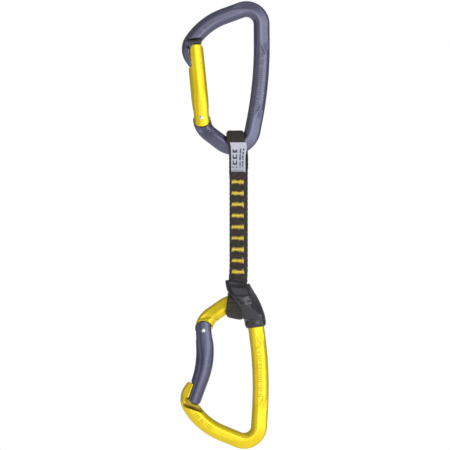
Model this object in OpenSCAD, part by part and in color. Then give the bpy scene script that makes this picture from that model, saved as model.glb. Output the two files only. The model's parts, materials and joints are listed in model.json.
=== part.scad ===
// Climbing quickdraw: a straight-gate carabiner and a bent-gate carabiner
// joined by a sewn sling, with a rubber keeper on the rope end.
// It hangs along -Z from its anchor seat, the top of the upper carabiner's
// large basket, which is the origin. The frames lie in the XZ plane and
// every gate, rivet and lug is symmetric about Y = 0.

/* [Carabiner frame] */
// Depth of the frame bar in the plane of the carabiner
bar_depth = 10.4; // [9.5:0.1:11.4]
// Thickness of the frame bar across the plane
bar_thick = 9.4; // [8.6:0.1:10.2]
// Depth of the forged panel in each face of the spine
panel_depth = 0.8; // [0.4:0.1:1.4]
// Width of the forged panel
panel_width = 4.6; // [3.6:0.1:5.4]
// Length of the forged panel
panel_length = 40; // [25:1:44]

/* [Gates] */
// Width of a gate in the plane of the carabiner
gate_width = 10.8; // [9.6:0.1:11.4]
// Thickness of a gate across the plane
gate_thick = 9.0; // [8:0.1:10]
// Gap between a gate's free end and the frame's shoulder
tip_gap = 0.8; // [0.6:0.1:1.4]
// Clearance between sliding and turning faces
clearance = 0.3; // [0.2:0.05:0.45]
// Diameter of the hinge rivet
rivet_dia = 3.0; // [2.4:0.1:3.6]
// Thickness of the hinge lug inside a gate's fork
lug_thick = 3.4; // [2.6:0.1:4]
// Diameter of the spring bore inside a gate
bore_dia = 4.0; // [3.4:0.1:4.4]
// Sideways offset of the spring bore from the rivet, towards the opening
bore_offset = 1.9; // [1.4:0.1:2.2]
// Wire diameter of a gate spring
wire_dia = 0.5; // [0.35:0.05:0.6]
// Coils in a gate spring
coils = 8; // [6:1:10]

/* [Sling] */
// Width of the tape
tape_width = 12; // [10:0.5:12.5]
// Thickness of the tape
tape_thick = 1.9; // [1.4:0.1:2.2]
// Height of the sling between the centres of its two eyes
eye_spacing = 100.5; // [96:0.5:150]
// Inner half-width of an eye, front to back, where it turns round the frame bar
eye_radius = 8.9; // [8.8:0.1:9.6]
// Number of bar tacks
tacks = 9; // [5:1:9]
// Width of a bar tack across the tape
tack_width = 8.2; // [6:0.1:9.5]
// Height of a bar tack along the tape
tack_height = 2.9; // [2:0.1:3.6]
// Thickness of a bar tack and of the label cloth
thread_thick = 0.35; // [0.25:0.05:0.5]

/* [Keeper] */
// Wall of the rubber keeper round the tape and the bar
keeper_wall = 1.7; // [1.2:0.1:2.4]

/* [Hidden] */
$fn = 48;
far = 60;
merge = 0.4;

slate = [0.36, 0.36, 0.46];
yellow = [0.90, 0.82, 0.10];
steel = [0.75, 0.76, 0.78];
black = [0.12, 0.12, 0.13];
white = [0.92, 0.93, 0.96];
thread_yellow = [0.93, 0.75, 0.12];

// Centreline of the frame bar as [x, z, corner radius], from the nose round
// the large basket, down the spine and round the small basket to the hinge.
raw_frame = [[-29.5, -30.6, 0], [-36.4, -20.7, 9.3], [-24.4, -4.1, 42], [11.9, 9.1, 9.8],
             [12.3, -42, 250], [2.3, -93.4, 12.5], [-26.2, -71.9, 13], [-26.6, -65.2, 0]];
large_basket = 3;
small_basket = 5;
raw_seat = corner_center(raw_frame, large_basket)
    + [0, raw_frame[large_basket][2] - bar_depth / 2];
frame_path = [for (p = raw_frame) [p[0] - raw_seat[0], p[1] - raw_seat[1], p[2]]];
hinge = xz(frame_path[len(frame_path) - 1]);
small_center = corner_center(frame_path, small_basket);
small_radius = frame_path[small_basket][2];

panel_inset = 1.6;
panel_tilt = 5.3;

// Gate centrelines, from the rivet to the free end.
straight_gate = [[hinge[0], hinge[1], 0], [-33.4, -17.9, 0]];
bent_gate = [[hinge[0], hinge[1], 0], [-26.2, -44.3, 55], [-33.9, -18.1, 0]];

// Nose of each frame, across and along from the gate's free end: where the
// beak starts, how far the key reaches towards the gate, the beak's length.
straight_nose = [-3.6, -0.8, 13.6];
bent_nose = [-3.2, -0.6, 11.6];
key_head = 4.2;
key_head_thick = 6.4;
key_neck_thick = 4.0;

// The lower carabiner is the same forging, turned over and tilted.
lower_tilt = 2.6;
lower_seat_x = -1.8;
eye_drop = small_center[1] - small_radius;
upper_eye_z = eye_drop;
lower_eye_z = upper_eye_z - eye_spacing;
lower_seat_z = lower_eye_z + eye_drop * cos(lower_tilt) + small_center[0] * sin(lower_tilt);

// The sling's own plane and its route, as [y, z, corner radius]. The tape
// starts at the tail in front, rounds the lower eye, goes up the back, rounds
// the upper eye and comes down between the other two plies.
strap_x = -5.6;
ply = tape_thick + 0.1;
eye_mid = eye_radius + tape_thick / 2;
eye_reach = small_radius / 2;
// The end of an eye rests on the bar's bend, which climbs within the tape's width.
eye_play = 0.172;
bend_inner = small_radius - bar_depth / 2;
eye_rise = bend_inner - sqrt(pow(bend_inner, 2) - pow(eye_reach, 2)) + eye_play;
eye_high = bar_depth / 2 + eye_rise + tape_thick / 2;
eye_turn = min(eye_mid, eye_high) - 0.05;
tail_z = upper_eye_z - 16.2;
upper_throat = upper_eye_z - 14.2;
lower_throat = lower_eye_z + 15.8;
lower_eye = [[-ply, lower_throat, 8], [-eye_mid, lower_eye_z + 2, 5],
             [-eye_mid, lower_eye_z - eye_high, eye_turn], [eye_mid, lower_eye_z - eye_high, eye_turn],
             [eye_mid, lower_eye_z + 2, 5], [ply, lower_throat, 8]];
upper_eye = [[ply, upper_throat, 8], [eye_mid, upper_eye_z - 3, 5],
             [eye_mid, upper_eye_z + eye_high, eye_turn], [-eye_mid, upper_eye_z + eye_high, eye_turn],
             [-eye_mid, upper_eye_z - 3, 5], [0, upper_throat, 8]];
tape_route = concat([[-ply, tail_z, 0]], lower_eye, upper_eye, [[0, lower_throat + 1, 0]]);
upper_eye_edge = small_center[0] + eye_reach;
lower_eye_edge = lower_seat_x + small_center[0] * cos(lower_tilt)
    - small_center[1] * sin(lower_tilt) + eye_reach;
label_route = [[-eye_mid, upper_eye_z - 0.7, 0], upper_eye[4], upper_eye[5], [0, tail_z - 6, 0]];
label_width = 10.6;
first_tack_z = tail_z - 6.4;
tack_pitch = (first_tack_z - lower_throat - 3.7) / (tacks - 1);
tack_x = strap_x + 0.3;
leg_radius = 0.4;
leg_inset = 0.8;

// Hinge, plunger and spring, along the gate from the rivet.
lug_radius = bar_depth / 2 + 0.15;
lug_top = 3.0;
ear_radius = gate_width / 2 + 0.3;
gate_tail = 8;
shoulder_radius = ear_radius + clearance + 0.1;
slot_top = lug_radius + 0.4;
slot_width = lug_thick + 0.4;
plunger_radius = bore_dia / 2 - 0.1;
tip_radius = 1.2;
guide_radius = 1.0;
plunger_top = 12;
guide_top = 15.5;
spring_top = 21;

// Keeper: how far down it covers the eye on each side of the sling.
keeper_top = lower_throat - 1.2;
keeper_left_end = lower_eye_z + 5.4;
keeper_split_x = strap_x + 1.0;

function xz(p) = [p[0], p[1]];
function unit(v) = v / norm(v);
function half_angle(path, i) =
    acos(unit(xz(path[i - 1]) - xz(path[i])) * unit(xz(path[i + 1]) - xz(path[i]))) / 2;
function corner_center(path, i) =
    let (b = xz(path[i]), u = unit(xz(path[i - 1]) - b), v = unit(xz(path[i + 1]) - b))
    b + unit(u + v) * path[i][2] / sin(half_angle(path, i));
function tangent(path, i) = path[i][2] == 0 ? 0 : path[i][2] / tan(half_angle(path, i));
function leave(path, i) =
    xz(path[i]) + tangent(path, i) * unit(xz(path[i + 1]) - xz(path[i]));
function arrive(path, i) =
    xz(path[i]) + tangent(path, i) * unit(xz(path[i - 1]) - xz(path[i]));
function heading(d) = atan2(d[0], d[1]);
function turn(a, b) = (b - a + 540) % 360 - 180;
function side(path, i, offset, steps) =
    let (c = corner_center(path, i), a = arrive(path, i) - c, b = leave(path, i) - c,
         a0 = atan2(a[1], a[0]), d = turn(a0, atan2(b[1], b[0])),
         r = path[i][2] - sign(d) * offset)
    [for (k = [0:steps]) c + r * [cos(a0 + d * k / steps), sin(a0 + d * k / steps)]];
function end_side(p, d, offset) = p + offset * [-d[1], d[0]];
// One edge of a ribbon that follows a path, offset to the left of its travel.
function edge(path, offset, steps = 12) =
    let (n = len(path) - 1, d0 = unit(xz(path[1]) - xz(path[0])),
         d1 = unit(xz(path[n]) - xz(path[n - 1])))
    concat([end_side(xz(path[0]), d0, offset)],
           [for (i = [1:n - 1]) each side(path, i, offset, steps)],
           [end_side(xz(path[n]), d1, offset)]);
function tack_z(i) = first_tack_z - (i - 1) * tack_pitch;
function reversed(v) = [for (i = [len(v) - 1:-1:0]) v[i]];

// Flat ribbon of the given width in the plane of its path.
module ribbon(path, width) {
    polygon(concat(edge(path, width / 2), reversed(edge(path, -width / 2))));
}

// Sweeps the frame's section along a path of lines and arcs. Straights run a
// little way into the arcs, which are a hair thinner so that the pieces merge.
module swept(path, depth, thick) {
    n = len(path) - 1;
    for (i = [0:n - 1]) {
        a = i == 0 ? xz(path[0]) : leave(path, i);
        b = i == n - 1 ? xz(path[n]) : arrive(path, i + 1);
        translate([a[0], 0, a[1]]) rotate([0, heading(b - a), 0])
            translate([0, 0, -merge]) linear_extrude(height = norm(b - a) + 2 * merge)
                section(depth, thick);
    }
    for (i = [1:n - 1]) {
        c = corner_center(path, i);
        p = arrive(path, i) - c;
        q = leave(path, i) - c;
        sweep = turn(atan2(p[1], p[0]), atan2(q[1], q[0]));
        start = sweep > 0 ? p : q;
        translate([c[0], 0, c[1]]) rotate([90, 0, 0])
            rotate([0, 0, atan2(start[1], start[0])]) rotate_extrude(angle = abs(sweep))
                translate([path[i][2], 0]) section(depth - merge / 4, thick - merge / 4);
    }
}

// Round section with a flat on each face.
module section(depth, thick) {
    intersection() {
        circle(d = depth);
        square([depth, thick], center = true);
    }
}

// Puts children in a frame whose +Z runs from the rivet along the gate.
module at_hinge(gate) {
    translate([hinge[0], 0, hinge[1]])
        rotate([0, heading(xz(gate[1]) - hinge), 0]) children();
}

// Puts children in a frame at the gate's free end, +Z out of its end.
module at_tip(gate) {
    n = len(gate) - 1;
    translate([gate[n][0], 0, gate[n][1]])
        rotate([0, heading(xz(gate[n]) - xz(gate[n - 1])), 0]) children();
}

// Turns a shape drawn for the upper carabiner over onto the lower one.
module at_lower() {
    translate([lower_seat_x, 0, lower_seat_z]) rotate([0, lower_tilt, 0])
        mirror([0, 0, 1]) children();
}

// A box from one corner to the other.
module span(low, high) {
    translate(low) cube(high - low);
}

// A pin along Y.
module pin(radius, length) {
    rotate([90, 0, 0]) cylinder(r = radius, h = length, center = true);
}

// The nose's key, narrow in the neck and wide at the head, which the slot in
// the gate's free end slides over.
module key(nose, play = 0) {
    neck = key_neck_thick / 2 + play;
    head = key_head_thick / 2 + play;
    top = nose[2] - 0.3;
    span([nose[0] - 1.5, -neck, -top], [nose[1] + play, neck, tip_gap + 1.5]);
    span([nose[0] - 1.3, -head, -top - play], [nose[1] + play, head, key_head + play - top]);
}

// A forging: the bar, less the room for its gate, with its lug and key.
module carabiner_frame(gate, nose) {
    difference() {
        swept(frame_path, bar_depth, bar_thick);
        at_tip(gate) {
            span([nose[0] - clearance, -far, -20], [far / 2, far, tip_gap]);
            span([-far / 3, -far, -30], [far / 2, far, -nose[2]]);
        }
        at_hinge(gate) for (s = [-1, 1]) translate([0, s * (lug_thick + far) / 2, 0]) {
            pin(shoulder_radius, far);
            span([-shoulder_radius, -far / 2, 0], [far / 3, far / 2, 12]);
        }
        for (s = [-1, 1]) spine_panel(s);
        at_hinge(gate) {
            span([-far / 3, -far, lug_top], [far / 2, far, 14]);
            pin(rivet_dia / 2 + 0.05, far);
        }
    }
    at_hinge(gate) lug();
    at_tip(gate) key(nose);
}

// The hinge lug, with a flat on top for the plunger to press on.
module lug() {
    difference() {
        pin(lug_radius, lug_thick);
        span([-far, -far, lug_top], [far, far, far]);
        pin(rivet_dia / 2 + 0.05, far);
    }
}

// The forged panel in one face of the spine.
module spine_panel(s) {
    translate([frame_path[4][0] - panel_inset, s * bar_thick / 2, frame_path[4][1]])
        rotate([0, panel_tilt, 0])
            cube([panel_width, 2 * panel_depth, panel_length], center = true);
}

// The bar of a gate, its end rounded about the rivet. It starts below the
// rivet by gate_tail, so that the rounding leaves no flat.
module gate_bar(gate) {
    intersection() {
        if (len(gate) == 2)
            at_hinge(gate) translate([0, 0, -gate_tail])
                linear_extrude(height = gate_tail + norm(xz(gate[1]) - hinge))
                    section(gate_width, gate_thick);
        else
            swept(concat([concat(hinge - gate_tail * unit(xz(gate[1]) - hinge), [0])],
                         [for (i = [1:len(gate) - 1]) gate[i]]), gate_width, gate_thick);
        at_hinge(gate) union() {
            pin(ear_radius, far);
            span([-far, -far, 0], [far, far, far]);
        }
    }
}

module gate(gate, nose) {
    difference() {
        gate_bar(gate);
        at_hinge(gate) {
            span([-far, -slot_width / 2, -far], [far, slot_width / 2, slot_top]);
            pin(rivet_dia / 2, far);
            translate([bore_offset, 0, slot_top - 1]) cylinder(d = bore_dia, h = spring_top - slot_top + 1);
        }
        at_tip(gate) {
            span([-far, -far, -nose[2] - clearance], [nose[0], far, far]);
            key(nose, clearance);
            neck = key_neck_thick / 2 + clearance;
            span([nose[0] - 1, -neck, -nose[2] - 1], [nose[1] + clearance, neck, far]);
        }
    }
}

module rivet(gate) {
    at_hinge(gate) pin(rivet_dia / 2, gate_thick + 0.1);
}

module plunger(gate) {
    at_hinge(gate) translate([bore_offset, 0, 0]) {
        translate([0, 0, lug_top + tip_radius]) sphere(r = tip_radius);
        translate([0, 0, lug_top + tip_radius]) cylinder(r = tip_radius - 0.02, h = 4);
        translate([0, 0, slot_top + 0.4]) cylinder(r = plunger_radius, h = plunger_top - slot_top - 0.4);
        translate([0, 0, plunger_top - 1]) cylinder(r = guide_radius, h = guide_top - plunger_top + 1);
    }
}

// A coil spring: the wire's slice across the axis, twisted up the axis.
module spring(gate) {
    pitch = (spring_top - plunger_top - wire_dia) / coils;
    wire = wire_dia / 2;
    mean = plunger_radius - wire - 0.05;
    reach = 360 * wire / pitch;
    at_hinge(gate) translate([bore_offset, 0, plunger_top + wire])
        linear_extrude(height = pitch * coils, twist = -360 * coils, slices = 16 * coils, $fn = 8)
            polygon([for (k = [0:7]) let (a = 45 * k, r = mean + wire * sin(a), t = reach * cos(a))
                     r * [cos(t), sin(t)]]);
}

// A flat shape in the sling's YZ plane, given width along X.
module sling_wide(low, high) {
    translate([low, 0, 0]) rotate([90, 0, 90]) linear_extrude(height = high - low) children();
}

// The tape's right edge curls in beside the spine, so the eyes are narrower.
module tape() {
    difference() {
        sling_wide(strap_x - tape_width / 2, strap_x + tape_width / 2)
            ribbon(tape_route, tape_thick);
        span([upper_eye_edge, -far, upper_eye_z - 0.6], [far, far, upper_eye_z + far]);
        span([lower_eye_edge, -far, lower_eye_z - far], [far, far, lower_eye_z - 3.5]);
        for (i = [1:tacks]) tack_legs(i, far);
    }
}

// The label is folded round the right edge of the upper eye's front leg.
module label() {
    right = strap_x + tape_width / 2;
    difference() {
        sling_wide(right + thread_thick - label_width, right + thread_thick)
            ribbon(label_route, tape_thick + 2 * thread_thick);
        sling_wide(-far, right) ribbon(label_route, tape_thick + 0.02);
        span([-far, -far, -far * 3], [far, far, tail_z + 0.1]);
        span([-far, 0, -far * 3], [far, far, upper_throat + 3]);
    }
}

module tack_legs(i, length) {
    for (s = [-1, 1])
        translate([tack_x + s * (tack_width / 2 - leg_inset), 0, tack_z(i)])
            pin(leg_radius, length);
}

module bar_tack(i) {
    face = ply + tape_thick / 2;
    tack_legs(i, 2 * face + 0.2);
    for (s = [-1, 1])
        translate([tack_x, s * (face + thread_thick / 2), tack_z(i)])
            cube([tack_width, thread_thick, tack_height], center = true);
}

// The keeper's hood over the sling: the eye's outline grown by a margin.
module eye_outline(grow) {
    route = concat([[-ply, lower_throat + 12, 0]], lower_eye, [[ply, lower_throat + 12, 0]]);
    polygon(edge(route, -tape_thick / 2 - grow));
}

module keeper() {
    left = strap_x - tape_width / 2 - 0.1;
    right = strap_x + tape_width / 2 + 0.1;
    difference() {
        union() {
            intersection() {
                sling_wide(left - keeper_wall, right + keeper_wall) eye_outline(keeper_wall);
                union() {
                    span([-far, -far, keeper_left_end], [far, far, keeper_top]);
                    span([keeper_split_x, -far, lower_eye_z - 6], [far, far, keeper_top - 2]);
                }
            }
            intersection() {
                at_lower() swept([frame_path[4], frame_path[small_basket], frame_path[6]],
                      bar_depth + 2 * keeper_wall, bar_thick + 2 * keeper_wall);
                span([right, -far, lower_eye_z - 16.2], [far, far, keeper_top]);
            }
        }
        sling_wide(left, right) eye_outline(0.1);
        at_lower() swept(frame_path, bar_depth + 0.1, bar_thick + 0.1);
    }
}

color(slate) carabiner_frame(straight_gate, straight_nose);  // upper_frame
color(yellow) gate(straight_gate, straight_nose);  // upper_gate
color(steel) rivet(straight_gate);  // upper_rivet
color(steel) plunger(straight_gate);  // upper_plunger
color(steel) spring(straight_gate);  // upper_spring
color(yellow) at_lower() carabiner_frame(bent_gate, bent_nose);  // lower_frame
color(slate) at_lower() gate(bent_gate, bent_nose);  // lower_gate
color(steel) at_lower() rivet(bent_gate);  // lower_rivet
color(steel) at_lower() plunger(bent_gate);  // lower_plunger
color(steel) at_lower() spring(bent_gate);  // lower_spring
color(slate) tape();  // sling_tape
color(white) label();  // sling_label
color(black) keeper();  // rubber_keeper
for (i = [1:tacks])
    color(thread_yellow) bar_tack(i);
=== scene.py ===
"""A climbing quickdraw, hanging from its upper carabiner. In metres, +Z up, front along -Y."""
import json
import math

import bmesh
import bpy
import numpy as np
from mathutils import Matrix, Vector


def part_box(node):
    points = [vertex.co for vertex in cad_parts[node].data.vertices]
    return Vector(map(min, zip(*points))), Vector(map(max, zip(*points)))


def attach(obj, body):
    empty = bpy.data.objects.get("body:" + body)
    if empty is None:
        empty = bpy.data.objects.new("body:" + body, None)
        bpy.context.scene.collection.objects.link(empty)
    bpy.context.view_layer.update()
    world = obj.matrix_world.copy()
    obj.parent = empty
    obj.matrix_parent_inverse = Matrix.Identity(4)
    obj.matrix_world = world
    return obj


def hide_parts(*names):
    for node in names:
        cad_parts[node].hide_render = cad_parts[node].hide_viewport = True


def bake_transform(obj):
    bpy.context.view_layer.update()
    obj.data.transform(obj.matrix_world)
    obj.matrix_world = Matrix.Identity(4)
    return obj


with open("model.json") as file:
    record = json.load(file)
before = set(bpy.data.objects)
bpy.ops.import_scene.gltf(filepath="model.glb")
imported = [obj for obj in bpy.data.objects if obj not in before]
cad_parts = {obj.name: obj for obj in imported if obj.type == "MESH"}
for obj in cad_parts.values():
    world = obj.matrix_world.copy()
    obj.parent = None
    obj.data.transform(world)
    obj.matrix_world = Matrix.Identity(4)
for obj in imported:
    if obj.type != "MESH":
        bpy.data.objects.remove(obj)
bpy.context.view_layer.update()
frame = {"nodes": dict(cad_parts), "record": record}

# ---- The studio -------------------------------------------------------------------------------
# A pale floor well under the hanging quickdraw and a long lens square to the carabiners' faces. One
# large key softbox stands to the right of the lens, a cool strip beside it lights the edges, and a
# weaker one to the left and one overhead fill in.
MM = 0.001
scene = bpy.context.scene
scene.view_settings.view_transform = "Standard"
picture_centre = Vector((-13.8, 0.0, -134.0)) * MM
lens_distance = 1.6
picture_width = 0.2902
sensor_width = 36.0


def studio_camera():
    data = bpy.data.cameras.new("lens")
    data.sensor_width = sensor_width
    data.lens = sensor_width * lens_distance / picture_width
    data.clip_start = 0.01
    camera = bpy.data.objects.new("lens", data)
    camera.location = picture_centre + Vector((0, -lens_distance, 0))
    camera.rotation_euler = (math.radians(90), 0, 0)
    scene.collection.objects.link(camera)
    scene.camera = camera


def softbox(name, place, aim, size, watts, colour=(1, 1, 1)):
    data = bpy.data.lights.new(name, "AREA")
    data.shape = "RECTANGLE"
    data.size, data.size_y = size
    data.energy = watts
    data.color = colour
    lamp = bpy.data.objects.new(name, data)
    lamp.location = place
    lamp.rotation_euler = (Vector(aim) - Vector(place)).to_track_quat("-Z", "Y").to_euler()
    scene.collection.objects.link(lamp)


def studio_floor():
    radius, height, corners = 1.0, -0.42, 96
    mesh = bpy.data.meshes.new("studio_floor")
    turns = [2 * math.pi * k / corners for k in range(corners)]
    rim = [(radius * math.cos(t), radius * math.sin(t), height) for t in turns]
    mesh.from_pydata(rim, [], [range(corners)])
    floor = bpy.data.objects.new("studio_floor", mesh)
    scene.collection.objects.link(floor)
    paper = bpy.data.materials.new("studio_paper")
    paper.use_nodes = True
    surface = paper.node_tree.nodes["Principled BSDF"].inputs
    surface["Base Color"].default_value = (0.92, 0.92, 0.92, 1)
    surface["Roughness"].default_value = 0.9
    surface["Emission Color"].default_value = (1, 1, 1, 1)
    surface["Emission Strength"].default_value = 0.4
    mesh.materials.append(paper)


def studio_world():
    world = bpy.data.worlds.new("studio_world")
    world.use_nodes = True
    tree = world.node_tree
    tree.nodes.clear()
    ray = tree.nodes.new("ShaderNodeLightPath")
    seen = tree.nodes.new("ShaderNodeBackground")
    seen.inputs["Color"].default_value = (1, 1, 1, 1)
    glow = tree.nodes.new("ShaderNodeBackground")
    glow.inputs["Color"].default_value = (0.95, 0.97, 1, 1)
    glow.inputs["Strength"].default_value = 0.36
    mix = tree.nodes.new("ShaderNodeMixShader")
    out = tree.nodes.new("ShaderNodeOutputWorld")
    tree.links.new(ray.outputs["Is Camera Ray"], mix.inputs[0])
    tree.links.new(glow.outputs[0], mix.inputs[1])
    tree.links.new(seen.outputs[0], mix.inputs[2])
    tree.links.new(mix.outputs[0], out.inputs["Surface"])
    scene.world = world


studio_camera()
studio_world()
studio_floor()
lamp_aim = (0, 0, -0.13)
softbox("key_softbox", (0.42, -1.15, 0.0), lamp_aim, (0.9, 1.0), 7.4)
softbox("edge_strip", (1.0, -0.5, -0.1), lamp_aim, (0.12, 0.9), 2.4, (0.80, 0.88, 1.0))
softbox("fill_softbox", (-0.8, -0.8, -0.1), lamp_aim, (0.3, 0.9), 0.8)
softbox("top_softbox", (0.1, -0.4, 0.8), lamp_aim, (0.8, 0.4), 0.9)

# ---- The carabiner frames ---------------------------------------------------------------------
# Two forgings from one die, of anodised aluminium bar bent to an offset D: the upper is slate,
# the lower is yellow and turned over. The spine is pressed flatter, with a bevel along its outer
# side that opens out at both bends, and the nose is cut back to a keyhole key.
FRAME_LINE = [(-31.71, -30.35, 0), (-38.61, -20.45, 9.3), (-26.61, -3.85, 42), (9.69, 9.35, 9.8),
              (10.09, -41.75, 250), (0.09, -93.15, 12.5), (-28.41, -71.65, 13), (-28.81, -64.95, 0)]
STRAIGHT_GATE_LINE = [FRAME_LINE[-1], (-33.4, -17.9, 0)]
BENT_GATE_LINE = [FRAME_LINE[-1], (-26.2, -44.3, 55), (-33.9, -18.1, 0)]
STRAIGHT_NOSE = (-3.6, -0.8, 13.6)
BENT_NOSE = (-3.2, -0.6, 11.6)
TIP_GAP = 0.8
SIDE_PLAY = 0.15
LUG_RADIUS = 5.35
LUG_HALF = 1.7
LUG_FLAT = 3.0
EAR_RADIUS = 5.7
SHOULDER_RADIUS = 6.1
SCOOP_RADIUS = 3.1
SCOOP_OUT = 5.1
SCOOP_UP = 0.9
SCOOP_LEFT = -5.4
lower_seat = next(m for m in frame["record"]["mounts"] if m["name"] == "rope_seat")["pos_m"]
lower_place = (Matrix.Translation(lower_seat) @ Matrix.Rotation(math.radians(2.6), 4, "Y")
               @ Matrix.Diagonal((1, 1, -1, 1)))
upper_place = Matrix.Identity(4)


def rounded_line(points, spacing):
    """Walks straights and corner arcs. Gives places, unit headings and distances along the line."""
    points = [(np.array(p[:2], float), p[2]) for p in points]
    places = [points[0][0]]
    for (a, _), (b, radius), (c, _) in zip(points, points[1:], points[2:]):
        if radius == 0:
            places.append(b)
            continue
        to_a = (a - b) / np.linalg.norm(a - b)
        to_c = (c - b) / np.linalg.norm(c - b)
        half = math.acos(np.clip(to_a @ to_c, -1, 1)) / 2
        middle = b + (to_a + to_c) / np.linalg.norm(to_a + to_c) * radius / math.sin(half)
        start = b + to_a * radius / math.tan(half) - middle
        end = b + to_c * radius / math.tan(half) - middle
        first = math.atan2(start[1], start[0])
        swing = (math.atan2(end[1], end[0]) - first + math.pi) % (2 * math.pi) - math.pi
        steps = max(6, int(abs(swing) * radius / spacing))
        for k in range(steps + 1):
            angle = first + swing * k / steps
            places.append(middle + radius * np.array((math.cos(angle), math.sin(angle))))
    places.append(points[-1][0])
    even = [places[0]]
    for a, b in zip(places, places[1:]):
        gap = np.linalg.norm(b - a)
        if gap < 1e-6:
            continue
        count = max(1, int(round(gap / spacing)))
        even.extend(a + (b - a) * k / count for k in range(1, count + 1))
    even = np.array(even)
    heading = np.gradient(even, axis=0)
    heading /= np.linalg.norm(heading, axis=1)[:, None]
    distance = np.concatenate([[0], np.cumsum(np.linalg.norm(np.diff(even, axis=0), axis=1))])
    return even, heading, distance


def solid(name, verts, faces):
    """A new piece with its faces turned outward."""
    mesh = bpy.data.meshes.new(name)
    mesh.from_pydata(verts, [], faces)
    tidy = bmesh.new()
    tidy.from_mesh(mesh)
    bmesh.ops.recalc_face_normals(tidy, faces=tidy.faces)
    tidy.to_mesh(mesh)
    tidy.free()
    thing = bpy.data.objects.new(name, mesh)
    scene.collection.objects.link(thing)
    return thing


def rings_mesh(name, rings):
    """Skins and caps a run of equal rings of points, each a list of 3D places."""
    count, around = len(rings), len(rings[0])
    verts = [tuple(p) for ring in rings for p in ring]
    faces = []
    for i in range(count - 1):
        low, high = i * around, (i + 1) * around
        for j in range(around):
            k = (j + 1) % around
            faces.append((low + j, low + k, high + k, high + j))
    faces.append(tuple(range(around)))
    faces.append(tuple((count - 1) * around + j for j in reversed(range(around))))
    return solid(name, verts, faces)


def bar_along(name, line, section, spacing=0.6):
    """Lofts section(share, distance) rings, of (outward, along Y) pairs in mm, along a line in XZ."""
    places, headings, distances = rounded_line(line, spacing)
    rings = []
    for place, heading, distance in zip(places, headings, distances):
        out = np.array((-heading[1], heading[0]))
        ring = []
        for u, v in section(distance / distances[-1], distance):
            at = place + out * u
            ring.append((at[0] * MM, v * MM, at[1] * MM))
        rings.append(ring)
    return rings_mesh(name, rings)


def round_off(across, deep, power, count=64):
    """A superellipse ring of half-sizes across and deep."""
    ring = []
    for k in range(count):
        angle = 2 * math.pi * k / count
        c, s = math.cos(angle), math.sin(angle)
        ring.append((across * math.copysign(abs(c) ** (2 / power), c),
                     deep * math.copysign(abs(s) ** (2 / power), s)))
    return ring


def ease(low, high, value):
    t = min(1.0, max(0.0, (value - low) / (high - low)))
    return t * t * (3 - 2 * t)


def forged_section(share, distance):
    """The forging's section: round inside, flat on the faces, bevelled outside."""
    spine = ease(84, 95, distance) * (1 - ease(124, 136, distance))
    arm = ease(6, 12, distance) * (1 - ease(48, 60, distance))
    crease = -0.5 + 3.6 * spine + 2.7 * arm
    slope = 0.33 + 0.5 * spine + 0.25 * arm
    flare = 1 + 0.09 * ease(178, 187, distance)
    ring = []
    for u, v in round_off(5.2, 5.0, 2.15):
        level = min(abs(v), 4.75)
        past = u - crease
        level = min(level, 4.8 - slope * (past + math.hypot(past, 0.45)) / 2)
        sunk = 0.4 * spine * ease(-3.3, -2.7, u) * (1 - ease(crease - 0.9, crease - 0.3, u))
        before = 180.5 + 0.9 * u - distance
        fold = 1.3 * (math.exp(-before / 2.6) if before > 0 else math.exp(-(before / 0.4) ** 2))
        fold *= 1 - ease(1.5, 4.6, u)
        ring.append((u * flare, math.copysign(max(level - sunk - fold, 0.0), v)))
    return ring


def put(matrix, thing):
    thing.data.transform(matrix)
    if matrix.to_3x3().determinant() < 0:
        thing.data.flip_normals()
    return thing


def block(low, high, matrix):
    """A box between two corners in mm, in the given place."""
    (x0, y0, z0), (x1, y1, z1) = low, high
    ring = [(x0, y0), (x1, y0), (x1, y1), (x0, y1)]
    rings = [[(x * MM, y * MM, z * MM) for x, y in ring] for z in (z0, z1)]
    return put(matrix, rings_mesh("cutter", rings))


def pin(radius, low, high, matrix, count=48, power=2):
    """A pin along Y in mm, in the given place, squarer for a power above 2."""
    turn = round_off(radius, radius, power, count)
    rings = [[(x * MM, y * MM, z * MM) for x, z in turn] for y in (low, high)]
    return put(matrix, rings_mesh("cutter", rings))


def carve(thing, tool, operation):
    """Cuts, adds or keeps the part shared with a tool, and removes the tool."""
    change = thing.modifiers.new("carve", "BOOLEAN")
    change.operation = operation
    change.solver = "MANIFOLD"
    change.object = tool
    settle(thing)
    bpy.data.objects.remove(tool)


def settle(thing):
    """Makes a piece's modifiers part of its mesh."""
    graph = bpy.context.evaluated_depsgraph_get()
    mesh = bpy.data.meshes.new_from_object(thing.evaluated_get(graph))
    thing.modifiers.clear()
    mesh.materials.clear()
    thing.data = mesh


def tumble(thing, voxel, passes, keep):
    """Takes the sharp edges off, as tumbling does: remeshed fine, relaxed, then thinned out."""
    remesh = thing.modifiers.new("remesh", "REMESH")
    remesh.mode = "VOXEL"
    remesh.voxel_size = voxel * MM
    relax = thing.modifiers.new("relax", "SMOOTH")
    relax.factor = 0.5
    relax.iterations = passes
    thin = thing.modifiers.new("thin", "DECIMATE")
    thin.ratio = keep
    settle(thing)
    thing.data.shade_smooth()


def heading_of(a, b):
    return math.atan2(b[0] - a[0], b[1] - a[1])


def hinge_place(gate):
    return (Matrix.Translation(Vector((gate[0][0], 0, gate[0][1])) * MM)
            @ Matrix.Rotation(heading_of(gate[0], gate[1]), 4, "Y"))


def tip_place(gate):
    return (Matrix.Translation(Vector((gate[-1][0], 0, gate[-1][1])) * MM)
            @ Matrix.Rotation(heading_of(gate[-2], gate[-1]), 4, "Y"))


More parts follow.
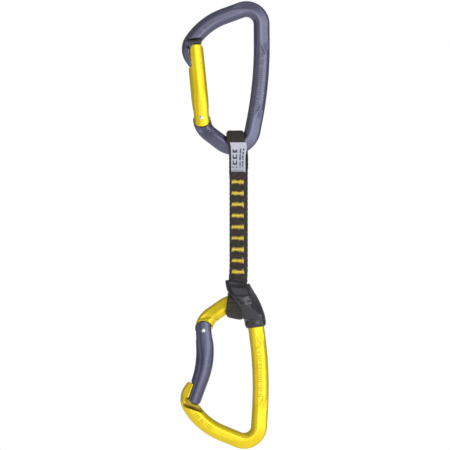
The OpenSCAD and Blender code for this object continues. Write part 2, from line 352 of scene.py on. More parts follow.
def forge(name, gate, nose):
    """One frame, before anodising: bent bar, gate room cut out, lug and key added."""
    body = bar_along(name, FRAME_LINE, forged_section)
    hinge, tip = hinge_place(gate), tip_place(gate)
    carve(body, block((nose[0] - SIDE_PLAY, -9, -20), (30, 9, TIP_GAP), tip), "DIFFERENCE")
    carve(body, block((-20, -9, -30), (30, 9, -nose[2]), tip), "DIFFERENCE")
    for low, high in ((-9, -LUG_HALF), (LUG_HALF, 9)):
        carve(body, pin(SHOULDER_RADIUS, low, high, hinge), "DIFFERENCE")
        carve(body, block((-SHOULDER_RADIUS, low, 0), (20, high, 12), hinge), "DIFFERENCE")
    carve(body, pin(LUG_RADIUS, -LUG_HALF, LUG_HALF, hinge), "UNION")
    carve(body, block((-20, -9, LUG_FLAT), (20, 9, 14), hinge), "DIFFERENCE")
    for low, high in ((-20, -4.9), (4.9, 20)):
        carve(body, block((low, -9, 0.2), (high, 9, 14), hinge), "DIFFERENCE")
    for face in (-1, 1):
        scoop = tip @ Matrix.Translation(Vector((0, face * SCOOP_OUT, SCOOP_UP)) * MM)
        scoop = scoop @ Matrix.Rotation(math.radians(-90), 4, "Z")
        carve(body, pin(SCOOP_RADIUS, SCOOP_LEFT, 12, scoop), "DIFFERENCE")
    carve(body, block((nose[0], -1.7, 0.0), (4.6, 1.7, TIP_GAP + 2), tip), "UNION")
    top = nose[2] - 0.3
    carve(body, block((nose[0] - 1.5, -2, -top), (nose[1], 2, TIP_GAP + 1.5), tip), "UNION")
    carve(body, block((nose[0] - 1.3, -3.2, -top), (nose[1], 3.2, 4.2 - top), tip), "UNION")
    tumble(body, 0.3, 3, 0.35)
    return body


class Wire:
    """An output in a material's node tree, which takes part in sums as a number does."""

    def __init__(self, tree, socket=None):
        self.tree = tree
        self.socket = socket

    def node(self, kind, settings=None, inputs=None, output=0):
        made = self.tree.nodes.new("ShaderNode" + kind)
        for name, value in (settings or {}).items():
            if name == "stops":
                ramp = made.color_ramp
                while len(ramp.elements) < len(value):
                    ramp.elements.new(1.0)
                for element, (place, shade) in zip(ramp.elements, value):
                    element.position = place
                    element.color = (shade, shade, shade, 1) if isinstance(shade, float) else (*shade, 1)
            else:
                setattr(made, name, value)
        for name, value in (inputs or {}).items():
            if isinstance(value, Wire):
                self.tree.links.new(value.socket, made.inputs[name])
            elif value is not None:
                made.inputs[name].default_value = value
        return Wire(self.tree, made.outputs[output])

    def sum_of(self, operation, a, b=None, clamp=False):
        inputs = {0: a} if b is None else {0: a, 1: b}
        return self.node("Math", {"operation": operation, "use_clamp": clamp}, inputs)

    def __add__(self, other):
        return self.sum_of("ADD", self, other)

    def __sub__(self, other):
        return self.sum_of("SUBTRACT", self, other)

    def __rsub__(self, other):
        return self.sum_of("SUBTRACT", other, self)

    def __mul__(self, other):
        return self.sum_of("MULTIPLY", self, other)

    def __gt__(self, other):
        return self.sum_of("GREATER_THAN", self, other)

    def __lt__(self, other):
        return self.sum_of("LESS_THAN", self, other)

    __radd__ = __add__
    __rmul__ = __mul__

    def ranged(self, low, high, new_low=0.0, new_high=1.0):
        return self.node("MapRange", {"interpolation_type": "SMOOTHSTEP"},
                         {"Value": self, "From Min": low, "From Max": high,
                          "To Min": new_low, "To Max": new_high})

    def blend(self, low, high):
        """A colour between two, by this share."""
        low, high = (c if isinstance(c, Wire) else (*c, 1) for c in (low, high))
        return self.node("Mix", {"data_type": "RGBA"}, {0: self, 6: low, 7: high}, 2)


def new_material(name):
    """A material with an empty surface. Gives it, a pen to draw its nodes with, and its shader."""
    material = bpy.data.materials.new(name)
    material.use_nodes = True
    shader = material.node_tree.nodes["Principled BSDF"]
    return material, Wire(material.node_tree), shader


def feed(pen, shader, **values):
    """Sets or links a shader's sockets, named with underscores for spaces."""
    for name, value in values.items():
        socket = shader.inputs[name.replace("_", " ")]
        if isinstance(value, Wire):
            pen.tree.links.new(value.socket, socket)
        else:
            socket.default_value = value


def grain(pen, scale, detail=2.0, stretch=(1, 1, 1)):
    """Noise in the piece's own space, scale being lumps per metre."""
    place = pen.node("TexCoord", output=3)
    spread = pen.node("Mapping", inputs={"Vector": place, "Scale": stretch})
    return pen.node("TexNoise", inputs={"Vector": spread, "Scale": scale, "Detail": detail})


def face_marks(pen):
    """Rows of short upright strokes, standing in for the engraving along the spine and the arms."""
    along = pen.node("Attribute", {"attribute_name": "along"}, output=2)
    across = pen.node("Attribute", {"attribute_name": "across"}, output=2)
    face = pen.node("Attribute", {"attribute_name": "facing"}, output=2)
    row = ((along > 92) * (along < 126) + (along > 22) * (along < 36))
    stroke = pen.sum_of("SINE", along * 4.6) > 0.1
    broken = pen.node("TexNoise", {"noise_dimensions": "1D"}, {"W": along * 0.55, "Scale": 1.0}) > 0.44
    level = pen.sum_of("ABSOLUTE", across + 0.2) < 1.4
    return row * stroke * broken * level * (face > 0.9)


def anodised(name, deep, bright, worn, scoop_shade_colour, roughness):
    """Tumbled, dyed and sealed aluminium: satin, a little mottled, paler where edges rub, with painted
    shade in the scoops by the key.
    """
    material, pen, shader = new_material(name)
    cloud = grain(pen, 90, 2.0).ranged(0.3, 0.7)
    colour = cloud.blend(deep, bright)
    edge = pen.node("Attribute", {"attribute_name": "rubbed"}, output=2)
    rubbed = edge.ranged(0.25, 0.9) * grain(pen, 900, 4.0).ranged(0.4, 0.62)
    marks = face_marks(pen)
    scratch = grain(pen, 260, 2.0, (1, 1, 9)).ranged(0.66, 0.72) * 0.35
    colour = (rubbed * 0.25 + scratch * 0.25).blend(colour, worn)
    colour = (marks * 0.6).blend(colour, [0.4 * c for c in deep])
    # Painted shade: the scoops beside the key are blended towards a dark brown, which stands in for the
    # shade there and the gate's reflection in it.
    scooped = pen.node("Attribute", {"attribute_name": "scooped"}, output=2)
    colour = (scooped * 0.75).blend(colour, scoop_shade_colour)
    fine = grain(pen, 5200, 2.0)
    bump = pen.node("Bump", inputs={"Strength": 0.10, "Distance": 0.00012,
                                    "Height": fine + marks * -1.2 + grain(pen, 700, 2.0) * 0.8})
    feed(pen, shader, Base_Color=colour, Metallic=0.82, Normal=bump,
         Roughness=cloud * 0.03 + roughness + rubbed * 0.08,
         Coat_Weight=0.25, Coat_Roughness=0.18)
    return material


# The fifth colour of each finish is the painted shade for the scoops beside the key.
SLATE = anodised("slate_anodising", (0.112, 0.112, 0.172), (0.127, 0.127, 0.194), (0.42, 0.43, 0.52),
                 (0.030, 0.026, 0.022), 0.35)
YELLOW = anodised("yellow_anodising", (0.81, 0.60, 0.012), (0.86, 0.65, 0.018), (0.95, 0.88, 0.42),
                  (0.22, 0.13, 0.006), 0.40)


def read_points(mesh, what):
    """Each point's place or normal, as rows of three."""
    values = np.empty(len(mesh.vertices) * 3, np.float32)
    mesh.vertices.foreach_get(what, values)
    return values.reshape(-1, 3)


def measure(thing, line, place, tip):
    """Stores on each point how far along and across its bar it lies, in mm, how squarely it faces
    front or back, how much painted shade it takes in a scoop by the key, and how much it stands out as
    an edge."""
    places, headings, distances = rounded_line(line, 0.6)
    mesh = thing.data
    count = len(mesh.vertices)
    back = np.array(place.inverted())
    points = read_points(mesh, "co") @ back[:3, :3].T + back[:3, 3]
    flat = points[:, (0, 2)] / MM
    back = np.array(tip.inverted())
    local = (points @ back[:3, :3].T + back[:3, 3]) / MM
    # A share of painted shade for points in the scoops beside the key, where the frame's colour is
    # darkened to stand in for shade.
    reach = np.hypot(np.abs(local[:, 1]) - SCOOP_OUT, local[:, 2] - SCOOP_UP)
    scooped = np.clip((SCOOP_RADIUS + 0.45 - reach) / 0.3, 0, 1)
    scooped *= np.clip((local[:, 0] - SCOOP_LEFT) / 1.2, 0, 1) * (local[:, 0] < 12)
    nearest = np.empty(count, int)
    for start in range(0, count, 4000):
        block_of = flat[start:start + 4000]
        away = ((block_of[:, None, :] - places[None, :, :]) ** 2).sum(axis=2)
        nearest[start:start + 4000] = away.argmin(axis=1)
    out = np.stack((-headings[nearest, 1], headings[nearest, 0]), axis=1)
    across = ((flat - places[nearest]) * out).sum(axis=1)
    facing = np.abs(read_points(mesh, "normal")[:, 1])
    for name, values in (("along", distances[nearest]), ("across", across), ("facing", facing),
                         ("scooped", scooped)):
        mesh.attributes.new(name, "FLOAT", "POINT").data.foreach_set("value", values.astype(np.float32))
    rubbed_edges(mesh)


def rubbed_edges(mesh):
    """Marks convex places, where each point stands proud of the middle of its neighbours."""
    count = len(mesh.vertices)
    points, normals = read_points(mesh, "co"), read_points(mesh, "normal")
    ends = np.empty(len(mesh.edges) * 2, np.int32)
    mesh.edges.foreach_get("vertices", ends)
    a, b = ends.reshape(-1, 2).T
    total = np.zeros((count, 3))
    number = np.zeros(count)
    length = np.zeros(count)
    span = np.linalg.norm(points[a] - points[b], axis=1)
    for p, q in ((a, b), (b, a)):
        np.add.at(total, p, points[q])
        np.add.at(number, p, 1)
        np.add.at(length, p, span)
    number = np.maximum(number, 1)
    proud = ((points - total / number[:, None]) * normals).sum(axis=1)
    proud /= np.maximum(length / number, 1e-9)
    proud = np.clip(proud * 6, 0, 1)
    for _ in range(2):
        spread = np.zeros(count)
        np.add.at(spread, a, proud[b])
        np.add.at(spread, b, proud[a])
        proud = 0.5 * proud + 0.5 * spread / number
    mesh.attributes.new("rubbed", "FLOAT", "POINT").data.foreach_set("value", proud.astype(np.float32))


upper_frame = forge("upper_forging", STRAIGHT_GATE_LINE, STRAIGHT_NOSE)
lower_frame = put(lower_place, forge("lower_forging", BENT_GATE_LINE, BENT_NOSE))
for piece, gate, body, node, finish, place in (
        (upper_frame, STRAIGHT_GATE_LINE, "upper_carabiner", "upper_frame", SLATE, upper_place),
        (lower_frame, BENT_GATE_LINE, "lower_carabiner", "lower_frame", YELLOW, lower_place)):
    measure(piece, FRAME_LINE, place, tip_place(gate))
    piece.data.materials.append(finish)
    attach(piece, body)
    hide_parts(node)

# ---- The gates --------------------------------------------------------------------------------
# Anodised aluminium bar, forked over the frame's lug at one end and slotted at the other to slide
# over the key. The upper gate is straight and yellow, the lower one bent and slate.
GATE_HALF_THICK = 4.5
GATE_TAIL = 8


def gate_section(share, distance):
    """A gate's section, full at the hinge and slimmer towards the nose."""
    half = 5.0 + 0.45 * ease(0.15, 0.4, share) - 0.15 * ease(0.5, 1.0, share)
    return round_off(half, GATE_HALF_THICK, 2.08 + 1.1 * (1 - ease(0.22, 0.5, share)), 48)


def bent_gate_section(share, distance):
    half = 5.2 + 0.5 * ease(0.15, 0.35, share) - 0.7 * ease(0.4, 1.0, share)
    return round_off(half, GATE_HALF_THICK, 2.2 + 1.0 * (1 - ease(0.22, 0.5, share)), 48)


def machine_gate(name, gate, nose, section):
    """One gate: bar, rounded about its rivet, forked, slotted and milled flat for the beak."""
    hinge, tip = hinge_place(gate), tip_place(gate)
    drop = Vector((gate[1][0] - gate[0][0], gate[1][1] - gate[0][1])).normalized() * -GATE_TAIL
    start = (gate[0][0] + drop.x, gate[0][1] + drop.y, 0)
    body = bar_along(name, [start, *gate[1:]], section, 0.5)
    rounded = pin(EAR_RADIUS, -9, 9, hinge, 96, 2.3)
    carve(rounded, block((-20, -9, 0), (20, 9, 60), hinge), "UNION")
    carve(body, rounded, "INTERSECT")
    for side, inset, radius in ((1, 2.6, 2.6), (-1, 0.6, 2.2)):
        low, high = sorted((inset * side, 12 * side))
        corner = block((low, -9, -radius), (high, 9, 3), tip)
        middle = tip @ Matrix.Translation(Vector((inset * side, 0, -radius)) * MM)
        carve(corner, pin(radius, -9, 9, middle, 64), "DIFFERENCE")
        carve(body, corner, "DIFFERENCE")
    carve(body, block((-20, -1.9, -20), (20, 1.9, LUG_RADIUS + 0.4), hinge), "DIFFERENCE")
    carve(body, block((-20, -9, -nose[2] - SIDE_PLAY), (nose[0], 9, 20), tip), "DIFFERENCE")
    top = nose[2] - 0.3
    play = SIDE_PLAY
    left, right = nose[0] - 3, nose[1] + play
    neck = block((left, -2 - play, -nose[2] - 1), (right, 2 + play, 9), tip)
    carve(body, neck, "DIFFERENCE")
    head = block((left, -3.2 - play, -top - play), (right, 3.2 + play, 4.2 + play - top), tip)
    carve(body, head, "DIFFERENCE")
    tumble(body, 0.28, 3, 0.4)
    return body


GATE_SLATE = anodised("dark_slate_anodising", (0.080, 0.083, 0.136), (0.094, 0.097, 0.154),
                      (0.3, 0.3, 0.36), (0.05, 0.05, 0.08), 0.27)
upper_gate = machine_gate("upper_gate_bar", STRAIGHT_GATE_LINE, STRAIGHT_NOSE, gate_section)
lower_gate = machine_gate("lower_gate_bar", BENT_GATE_LINE, BENT_NOSE, bent_gate_section)
put(lower_place, lower_gate)
for piece, body, finish in ((upper_gate, "upper_gate", YELLOW),
                            (lower_gate, "lower_gate", GATE_SLATE)):
    rubbed_edges(piece.data)
    piece.data.materials.append(finish)
    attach(piece, body)
    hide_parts(body)

# ---- The hinge rivets --------------------------------------------------------------------------
# Steel pins through each gate's fork and the frame's lug, peened to a low dome at both ends.
RIVET_PROFILE = [(0.0, 5.0), (0.5, 4.99), (0.85, 4.93), (1.15, 4.78), (1.34, 4.58), (1.4, 4.42),
                 (1.32, 4.3), (1.3, 0.0)]


def turned_rivet(name, hinge):
    """The rivet's profile, as (radius, distance from the middle) in mm, turned about Y."""
    half = RIVET_PROFILE[1:-1]
    profile = half + [(r, -y) for r, y in reversed(half)]
    rings = []
    for radius, y in profile:
        dent = 1 + 0.03 * math.sin(y * 40)
        turn = round_off(radius * dent, radius * dent, 2, 40)
        rings.append([(x * MM, y * MM, z * MM) for x, z in turn])
    rivet = put(hinge, rings_mesh(name, rings))
    rivet.data.shade_smooth()
    return rivet


def steel(name, colour, roughness, lines):
    """Plain steel with fine lines round it from turning, drawing or peening."""
    material, pen, shader = new_material(name)
    turning = grain(pen, 1800, 3.0, lines)
    tone = grain(pen, 700, 2.0).blend(colour, [0.8 * c for c in colour])
    bump = pen.node("Bump", inputs={"Strength": 0.15, "Distance": 0.00006, "Height": turning})
    feed(pen, shader, Base_Color=tone, Metallic=1.0, Roughness=turning * 0.15 + roughness, Normal=bump)
    return material


RIVET_STEEL = steel("rivet_steel", (0.86, 0.83, 0.82), 0.28, (1, 0.3, 1))
for gate_line, place, body in ((STRAIGHT_GATE_LINE, upper_place, "upper"),
                               (BENT_GATE_LINE, lower_place, "lower")):
    rivet = turned_rivet(body + "_peened_rivet", place @ hinge_place(gate_line))
    rivet.data.materials.append(RIVET_STEEL)
    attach(rivet, body + "_gate")
    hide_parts(body + "_rivet")

# ---- The springs and plungers inside the gates --------------------------------------------------
# A coil of drawn spring wire and a ground pin in each gate's bore. They keep their CAD shapes.
WIRE_STEEL = steel("spring_wire", (0.5, 0.5, 0.52), 0.3, (1, 1, 4))
PIN_STEEL = steel("ground_pin", (0.6, 0.6, 0.62), 0.22, (0.3, 0.3, 6))
for node, finish in (("upper_spring", WIRE_STEEL), ("lower_spring", WIRE_STEEL),
                     ("upper_plunger", PIN_STEEL), ("lower_plunger", PIN_STEEL)):
    part = frame["nodes"][node]
    part.material_slots[0].link = "OBJECT"
    part.material_slots[0].material = finish

# ---- The sling's tape ---------------------------------------------------------------------------
# One length of woven tape, folded into an eye at each end with three plies between them. Nine bar
# tacks pull the plies together there, so the strap is a little narrower, and it hangs slightly
# turned about its own length.
TAPE_HALF = 6.0
TAPE_HALF_THICK = 0.95
STRAP_X = -5.6
PLY = 2.0
UPPER_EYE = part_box("sling_tape")[1][2] / MM - 10.8
LOWER_EYE = UPPER_EYE - 100.5
TAIL = UPPER_EYE - 16.2
EYE_MIDDLE = 9.85
UPPER_EYE_LINE = [(PLY, UPPER_EYE - 14.2, 8), (EYE_MIDDLE, UPPER_EYE - 3, 5),
                  (EYE_MIDDLE, UPPER_EYE + EYE_MIDDLE, 9.8), (-EYE_MIDDLE, UPPER_EYE + EYE_MIDDLE, 9.8),
                  (-EYE_MIDDLE, UPPER_EYE - 3, 5), (0, UPPER_EYE - 14.2, 8)]
TAPE_LINE = [(-PLY, TAIL, 0), (-PLY, LOWER_EYE + 15.8, 8), (-EYE_MIDDLE, LOWER_EYE + 2, 5),
             (-EYE_MIDDLE, LOWER_EYE - EYE_MIDDLE, 9.8), (EYE_MIDDLE, LOWER_EYE - EYE_MIDDLE, 9.8),
             (EYE_MIDDLE, LOWER_EYE + 2, 5), (PLY, LOWER_EYE + 15.8, 8),
             *UPPER_EYE_LINE, (0, LOWER_EYE + 16.8, 0)]
TACK_HEIGHTS = [TAIL - 6.4 - 7.25 * i for i in range(9)]
TACK_X = -5.3


def sewn(z):
    """How far a height, in mm, lies inside the sewn part of the strap, from 0 to 1."""
    return ease(LOWER_EYE + 9, LOWER_EYE + 24, z) * (1 - ease(UPPER_EYE - 8, UPPER_EYE + 4, z))


def lay(x, y, z, front_leg=False):
    """Turns a flat strap's point, in mm, to how the strap hangs, in metres."""
    tight = sewn(z)
    angle = math.radians(19) * tight
    u = (x - STRAP_X) * (1 - 0.085 * tight)
    sway = 0.6 * tight - 1.4 * (1 - ease(LOWER_EYE - 4, LOWER_EYE + 10, z)) - 1.3 * ease(
        UPPER_EYE - 1, UPPER_EYE + 6, z)
    lean = max(-3.0, min(3.0, y))
    if front_leg:
        lean = min(lean, -3.0 * ease(TAIL - 7, TAIL - 1, z))
    lean *= math.sin(angle)
    return ((STRAP_X + sway + u * math.cos(angle) + lean) * MM,
            (-u * math.sin(angle) + y * math.cos(angle)) * MM, z * MM)


def pressed(x, z):
    """How far a bar tack pulls the outer plies in at a place."""
    pull = sum(math.exp(-((z - tack) / 2.1) ** 2) for tack in TACK_HEIGHTS)
    return 0.3 * pull * (1 - ease(3.2, 5.0, abs(x - TACK_X)))


def tape_edges(z):
    """The tape's left and right edges at a place on its route: the right one curls in at the eyes."""
    curl = ease(UPPER_EYE - 1, UPPER_EYE + 6, z) * 0.7
    lower = (1 - ease(LOWER_EYE - 6, LOWER_EYE - 1, z)) * 0.9
    corner = 0.8 * ease(UPPER_EYE + 8.6, UPPER_EYE + 10, z)
    corner += 0.6 * (1 - ease(LOWER_EYE - 10, LOWER_EYE - 8, z))
    return -TAPE_HALF + corner, TAPE_HALF - curl - lower - corner


def weave_tape(name, line, spacing=0.5):
    """Lofts the tape along its route in YZ and notes each point's place along and across it."""
    places, headings, distances = rounded_line(line, spacing)
    rings, along, across, folds = [], [], [], []
    last = distances[-1]
    for (y, z), (dy, dz), distance in zip(places, headings, distances):
        left, right = tape_edges(z)
        end = min(distance, last - distance)
        square = math.sqrt(max(0.0, 1 - (1 - min(end / 1.8, 1)) ** 2.4))
        wander = 0.20 * math.sin(distance * 1.9) + 0.14 * math.sin(distance * 4.3 + 1)
        bend = ease(7.5, 10, abs(z - UPPER_EYE)) * (z > UPPER_EYE) + ease(6.5, 10, LOWER_EYE - z)
        bend += ease(9.5, 9.8, abs(y)) * 0.15
        wrinkle = 0.3 * bend * math.sin(distance * 2 * math.pi / 2.7)
        half = (right - left) / 2 * (0.82 + 0.18 * square) + wander * 0.5
        middle = STRAP_X + (left + right) / 2
        thick = TAPE_HALF_THICK * (0.75 + 0.25 * min(end / 0.5, 1))
        ring = []
        for u, v in round_off(half, thick, 3.6, 56):
            x = middle + u
            rib = 0.045 * math.sin(distance * 2 * math.pi / 1.3) * math.sin(u * 2 * math.pi / 1.45)
            ribbed = 1 if abs(v) > 0.5 * thick else 0
            v += math.copysign(rib, v) * ribbed + wrinkle * (1 - (u / 9) ** 2)
            cup = 0.45 * ease(UPPER_EYE + 5, UPPER_EYE + 10, z) * (1 - (u / 6) ** 2)
            drop = (1 - ease(LOWER_EYE - 11, LOWER_EYE - 4, z)) * 1.6 * (1 - ease(-11.6, -2, x))
            at_y, at_z = y + v * dz, z - v * dy
            if abs(y) > 1.5 and LOWER_EYE + 18 < z < TAIL:
                at_y -= math.copysign(pressed(x, z), y)
            if end < 4 and distance < 10:
                at_y -= 0.3 * (1 - end / 4)
            ring.append(lay(x, at_y, at_z - cup + drop, distance > last - 110))
            along.append(distance)
            across.append(x - STRAP_X)
            # Painted light and shade: each point of a fold gets a share that makes its crest lighter and
            # its trough darker in the weave's colour.
            folds.append(wrinkle * math.copysign(1, v))
        rings.append(ring)
    tape = rings_mesh(name, rings)
    note(tape.data, along=along, across=across, folds=folds)
    tape.data.shade_smooth()
    return tape


def note(mesh, **values):
    """Stores a number on each point of a mesh, under each of these names."""
    for name, numbers in values.items():
        layer = mesh.attributes.new(name, "FLOAT", "POINT")
        layer.data.foreach_set("value", np.array(numbers, np.float32))


def woven(name, dark, light, warp, weft, sheen):
    """Woven yarn: rows of small lumps along and across, with loose fibres, uneven dye, and painted light
    and shade on the folds.
    """
    material, pen, shader = new_material(name)
    along = pen.node("Attribute", {"attribute_name": "along"}, output=2)
    across = pen.node("Attribute", {"attribute_name": "across"}, output=2)
    lean = along * (2 * math.pi / weft)
    lumps = pen.sum_of("SINE", lean + across * 1.3) * pen.sum_of("SINE", across * (2 * math.pi / warp))
    cross = pen.sum_of("SINE", lean * 0.5 - across * (math.pi / warp))
    fuzz = grain(pen, 2600, 4.0)
    height = lumps * 0.5 + cross * 0.35 + fuzz * 1.1
    # Painted light and shade: the folds near the eyes are lighter on their crests and darker in their
    # troughs.
    folds = pen.node("Attribute", {"attribute_name": "folds"}, output=2)
    shade = lumps * 0.24 + fuzz * 1.2 + cross * 0.14 + grain(pen, 650, 2.0) * 0.9 + folds * 2.2 - 0.7
    colour = shade.ranged(0.0, 1.1).blend(dark, light)
    bump = pen.node("Bump", inputs={"Strength": 0.8, "Distance": 0.00022, "Height": height})
    feed(pen, shader, Base_Color=colour, Roughness=fuzz * 0.2 + 0.66, Normal=bump,
         Sheen_Weight=sheen, Sheen_Roughness=0.45)
    return material


TAPE_WEAVE = woven("black_tape_weave", (0.005, 0.004, 0.0035), (0.105, 0.078, 0.060), 0.85, 0.95, 0.04)
tape = weave_tape("woven_tape", TAPE_LINE)
tape.data.materials.append(TAPE_WEAVE)
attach(tape, "sling")
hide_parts("sling_tape")

# ---- The bar tacks ------------------------------------------------------------------------------
# Nine dense zigzags of thick yellow thread through all three plies. Each is seen on both faces,
# a little ragged along its edges and taller where the thread is locked off at the right.
THREAD_RADIUS = 0.22
TACK_HALF_WIDTH = 4.25
ragged = np.random.default_rng(7)


def thread_tube(points, radius, sides=8):
    """Rings of a round thread along points in mm, each ring square to the run."""
    points = np.array(points)
    runs = np.gradient(points, axis=0)
    runs /= np.linalg.norm(runs, axis=1)[:, None]
    rings = []
    for point, run in zip(points, runs):
        a = np.cross(run, (0.0, 1.0, 0.02))
        a /= np.linalg.norm(a)
        b = np.cross(run, a)
        ring = []
        for k in range(sides):
            turn = 2 * math.pi * k / sides
            ring.append(lay(*(point + radius * (a * math.cos(turn) + b * math.sin(turn)))))
        rings.append(ring)
    return rings


def stitch_row(middle, face):
    """One face of a bar tack, as the thread's path: long stitches under a close zigzag."""
    count = 24
    path = []
    surface = PLY + TAPE_HALF_THICK - 0.12
    for k in range(count + 1):
        share = k / count
        x = TACK_X - TACK_HALF_WIDTH + 2 * TACK_HALF_WIDTH * share
        reach = 1.05 + 0.15 * math.sin(share * 9 + middle) + ragged.uniform(-0.35, 0.6)
        reach += 0.75 * ease(0.86, 1.0, share)
        side = 1 if k % 2 else -1
        z = middle + side * reach + 0.12 * math.sin(share * 7)
        path.append((x, face * (surface - 0.1), z))
        path.append((x + 0.08, face * (surface + 0.14), middle + side * reach * 0.5))
        path.append((x + 0.16, face * (surface + 0.17), middle))
        path.append((x + 0.25, face * (surface + 0.14), middle - side * reach * 0.5))
    return path


def joined(name, tubes):
    """Makes one piece of several closed tubes, with each point's place along its own thread."""
    verts, faces, along = [], [], []
    for rings in tubes:
        base = len(verts)
        around = len(rings[0])
        for i, ring in enumerate(rings):
            verts.extend(ring)
            along.extend([i * 0.35] * around)
            if i:
                for j in range(around):
                    k = (j + 1) % around
                    a, b = base + (i - 1) * around, base + i * around
                    faces.append((a + j, b + j, b + k, a + k))
        faces.append(tuple(base + j for j in range(around)))
        faces.append(tuple(base + (len(rings) - 1) * around + j for j in reversed(range(around))))
    thing = solid(name, verts, faces)
    note(thing.data, along=along)
    thing.data.shade_smooth()
    return thing


def thread(name, deep, bright):
    """Twisted polyester thread, shiny along its strands."""
    material, pen, shader = new_material(name)
    along = pen.node("Attribute", {"attribute_name": "along"}, output=2)
    strands = pen.sum_of("SINE", along * 9 + grain(pen, 3000, 1.0) * 4)
    tone = (strands * 0.25 + grain(pen, 1500, 3.0) * 1.1).ranged(0.2, 0.9)
    bump = pen.node("Bump", inputs={"Strength": 0.5, "Distance": 0.00008, "Height": strands})
    feed(pen, shader, Base_Color=tone.blend(deep, bright), Roughness=tone * -0.12 + 0.55, Normal=bump,
         Sheen_Weight=0.2)
    return material


TACK_THREAD = thread("yellow_thread", (0.60, 0.40, 0.02), (1.0, 0.80, 0.10))
for number, height in enumerate(TACK_HEIGHTS, 1):
    tubes = [thread_tube(stitch_row(height, face), THREAD_RADIUS) for face in (-1, 1)]
    for side in (-1, 1):
        x = TACK_X + side * (TACK_HALF_WIDTH - 0.8)
        tubes.append(thread_tube([(x, y, height) for y in np.linspace(-2.7, 2.7, 8)], 0.35))
    tack = joined(f"zigzag_tack_{number}", tubes)
    tack.data.materials.append(TACK_THREAD)
    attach(tack, "sling")
    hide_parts(f"bar_tack_{number}")

# ---- The label ----------------------------------------------------------------------------------
# A strip of white woven satin folded round the right edge of the upper eye's front leg, its lower
# end caught under the tape's tail. Plain printed bars stand in for a maker's print.
LABEL_HALF_THICK = 0.13
LABEL_TOP = UPPER_EYE + 2.6
LABEL_LINE = [(-EYE_MIDDLE, LABEL_TOP, 0), *UPPER_EYE_LINE[-2:], (0, TAIL - 1.6, 0)]
LABEL_LEFT = -10.05


def label_ring(y, z, dy, dz):
    """The label's closed section: along the face, round the tape's right edge and back along it."""
    off = TAPE_HALF_THICK + 0.05
    right = STRAP_X + TAPE_HALF - 0.6
    centre = [(x, -off) for x in np.linspace(LABEL_LEFT, right, 30)]
    centre += [(right + 0.62 * math.sin(t), -off * math.cos(t)) for t in np.linspace(0.15, 3.0, 12)]
    centre += [(x, off) for x in np.linspace(right - 0.4, right - 3.2, 8)]
    centre = np.array(centre)
    runs = np.gradient(centre, axis=0)
    runs /= np.linalg.norm(runs, axis=1)[:, None]
    out = np.stack((runs[:, 1], -runs[:, 0]), axis=1) * LABEL_HALF_THICK
    outline = np.concatenate((centre + out, (centre - out)[::-1]))
    ring = []
    for x, v in outline:
        if z < TAIL + 1.5 and v > 0:
            v = min(v, off)
        ring.append(lay(x, y + v * dz, z - v * dy, True))
    return ring, [x for x, _ in outline]


def fold_label(name):
    places, headings, distances = rounded_line(LABEL_LINE, 0.4)
    rings, along, across = [], [], []
    for (y, z), (dy, dz), distance in zip(places, headings, distances):
        ring, xs = label_ring(y, z, -dy, -dz)
        rings.append(ring)
        along.extend([z - UPPER_EYE] * len(ring))
        across.extend(xs)
    label = rings_mesh(name, rings)
    note(label.data, along=along, across=across)
    label.data.shade_smooth()
    return label, distances[-1]


def printed_satin(name, cloth, ink):
    """White satin with a fine rib, printed with plain blocks and broken bars."""
    material, pen, shader = new_material(name)
    down = pen.node("Attribute", {"attribute_name": "along"}, output=2)
    over = pen.node("Attribute", {"attribute_name": "across"}, output=2)
    rib = pen.sum_of("SINE", down * 14) * 0.5 + pen.sum_of("SINE", over * 17) * 0.3
    worn = grain(pen, 900, 3.0)
    fade = worn.ranged(0.1, 0.3)
    body = (over > -9.0) * (over < -5.6) * (down > -13.0) * (down < -1.8)
    blocks = body * (pen.sum_of("FRACT", down * 0.27 + 0.2) > 0.25)
    window = (over > -8.1) * (over < -6.5) * (pen.sum_of("FRACT", down * 0.27 + 0.08) > 0.45)
    blocks = blocks * (1 - window)
    lines = (over > -4.9) * (over < -0.9) * (pen.sum_of("FRACT", over * 0.5 + 0.45) > 0.42)
    lines = lines * (down > -12.6) * (down < -1.4)
    dashes = pen.node("TexNoise", {"noise_dimensions": "2D"},
                      {"Vector": pen.node("CombineXYZ", inputs={
                          0: pen.sum_of("FLOOR", over * 0.5 + 0.45) * 3.7, 1: down * 1.3}),
                       "Scale": 1.0}) > 0.43
    mark = (blocks + lines * dashes) * fade
    colour = worn.ranged(0.3, 0.7).blend([0.92 * c for c in cloth], cloth)
    colour = (mark * 0.95).blend(colour, ink)
    bump = pen.node("Bump", inputs={"Strength": 0.25, "Distance": 0.00008, "Height": rib + worn})
    feed(pen, shader, Base_Color=colour, Roughness=worn * 0.15 + 0.42, Normal=bump, Sheen_Weight=0.15)
    return material


LABEL_SATIN = printed_satin("label_satin", (0.53, 0.54, 0.63), (0.03, 0.03, 0.05))
label, label_length = fold_label("folded_label")
label.data.materials.append(LABEL_SATIN)
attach(label, "sling")
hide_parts("sling_label")
label_length * MM

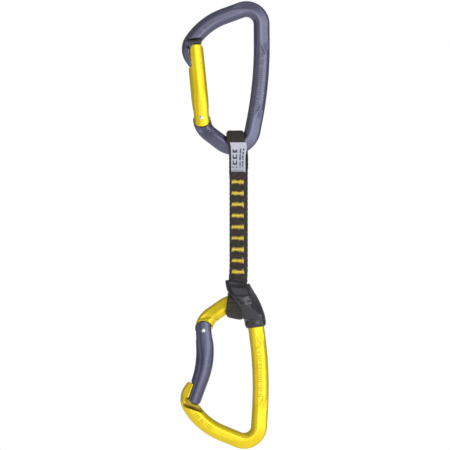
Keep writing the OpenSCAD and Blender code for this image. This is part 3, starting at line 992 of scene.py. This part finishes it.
# ---- The rubber keeper --------------------------------------------------------------------------
# A moulded sleeve of glossy black rubber: a hood stretched over the sling's lower eye runs into a
# collar round the yellow spine, so that the carabiner can't turn over in the eye.
HOOD_RINGS = [(-169.2, -13.7, 2.2, 5.5), (-171.0, -13.6, 2.7, 6.6), (-174.0, -13.1, 3.6, 8.9),
              (-177.0, -12.3, 4.9, 10.9), (-179.0, -11.5, 6.3, 12.2), (-180.2, -10.0, 7.0, 12.7),
              (-182.5, -8.9, 8.2, 13.1), (-185.0, -7.2, 9.4, 13.1), (-187.5, -5.5, 10.4, 12.7),
              (-190.0, -4.2, 11.0, 11.4), (-192.6, -3.0, 11.4, 9.4), (-194.8, -2.4, 11.6, 7.6)]
COLLAR_WALL = 1.7
HOLLOW_EDGES = (-12.0, 1.1)
HOLLOW_LINE = [(-3.1, LOWER_EYE + 22, 0), (-3.1, LOWER_EYE + 15.8, 8), (-10.9, LOWER_EYE + 2, 5),
               (-10.9, LOWER_EYE - 10.9, 10.8), (10.9, LOWER_EYE - 10.9, 10.8), (10.9, LOWER_EYE + 2, 5),
               (3.1, LOWER_EYE + 15.8, 8), (3.1, LOWER_EYE + 22, 0)]


def keeper_collar(share, distance):
    swell = 1 - 0.15 * (1 - min(distance / 2.4, 1)) ** 2
    return round_off((5.2 + COLLAR_WALL) * swell, (4.7 + COLLAR_WALL) * swell, 2.3, 56)


def keeper_bore(share, distance):
    return round_off(5.3, 4.85, 2.35, 48)


def hood_rings():
    rings = []
    for z, left, right, half in HOOD_RINGS:
        middle, wide = (left + right) / 2, (right - left) / 2
        tilt = -0.16 * ease(-176, -169, z)
        ring = []
        for u, v in round_off(wide, half, 5.0, 64):
            x = middle + u
            shallower = 1 - (1 - 5.8 / half) * ease(1.2, max(right, 4.0), x)
            ring.append((x * MM, v * shallower * MM, (z + tilt * (u + wide)) * MM))
        rings.append(ring)
    return rings


def mould_keeper(name):
    """The hood and collar joined, hollowed for the eye and the bar, and smoothed as a moulding is."""
    low, high = np.array(FRAME_LINE[5][:2]), np.array(FRAME_LINE[4][:2])
    spine = [(*(0.515 * low + 0.485 * high), 0), FRAME_LINE[5], FRAME_LINE[6]]
    keeper = rings_mesh(name, hood_rings())
    collar = put(lower_place, bar_along("collar", spine, keeper_collar))
    carve(collar, block((-2.6, -20, -210), (30, 20, -176), Matrix.Identity(4)), "INTERSECT")
    carve(keeper, collar, "UNION")
    grow = keeper.modifiers.new("skin", "REMESH")
    grow.mode = "VOXEL"
    grow.voxel_size = 0.5 * MM
    soften = keeper.modifiers.new("soften", "SMOOTH")
    soften.factor = 0.5
    soften.iterations = 14
    settle(keeper)
    eye = rounded_line(HOLLOW_LINE, 0.8)[0]
    rings = [[(x * MM, y * MM, z * MM) for y, z in eye] for x in HOLLOW_EDGES]
    carve(keeper, rings_mesh("cutter", rings), "DIFFERENCE")
    bore = put(lower_place, bar_along("bore", FRAME_LINE[3:], keeper_bore))
    carve(keeper, bore, "DIFFERENCE")
    tumble(keeper, 0.3, 5, 0.4)
    return keeper


def rubber(name, colour):
    """Glossy black rubber, finely scuffed."""
    material, pen, shader = new_material(name)
    cloud = grain(pen, 220, 3.0)
    scuff = grain(pen, 700, 4.0, (1, 1, 0.4)).ranged(0.55, 0.75)
    tone = (cloud * 0.5 + scuff * 0.6).blend(colour, [1.9 * c for c in colour])
    dimples = grain(pen, 170, 1.5) * 1.0 + grain(pen, 900, 3.0) * 0.08
    bump = pen.node("Bump", inputs={"Strength": 0.45, "Distance": 0.0014, "Height": dimples})
    feed(pen, shader, Base_Color=tone, Roughness=cloud * 0.10 + 0.22 + scuff * 0.12, Normal=bump,
         Coat_Weight=0.35, Coat_Roughness=0.10)
    return material


KEEPER_RUBBER = rubber("black_rubber", (0.010, 0.009, 0.015))
keeper = mould_keeper("moulded_keeper")
keeper.data.materials.append(KEEPER_RUBBER)
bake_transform(keeper)
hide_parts("rubber_keeper")
